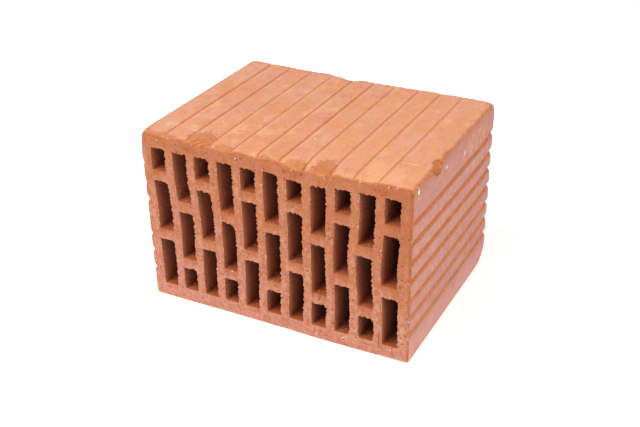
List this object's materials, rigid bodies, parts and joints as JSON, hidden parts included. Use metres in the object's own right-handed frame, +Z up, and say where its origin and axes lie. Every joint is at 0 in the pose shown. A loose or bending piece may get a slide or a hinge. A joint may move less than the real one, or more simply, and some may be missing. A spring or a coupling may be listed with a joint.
{
  "type": "hollow clay building block",
  "caption": "Extruded fired-clay hollow block with staggered upright through slots, keying grooves on top and sides, plain underside and wire-cut ends.",
  "frame": {"origin": "on the ground at the middle of the footprint, under the block as it lies on its plain wide face", "axes": "+X along the long side to the right, +Y along the cells from the front cut face to the back one, +Z up"},
  "size_m": [0.288, 0.217, 0.187],
  "materials": {
    "fired_clay": "matt, porous fired clay"
  },
  "bodies": {
    "root": {"clay_block": "fired_clay"}
  },
  "joints": []
}
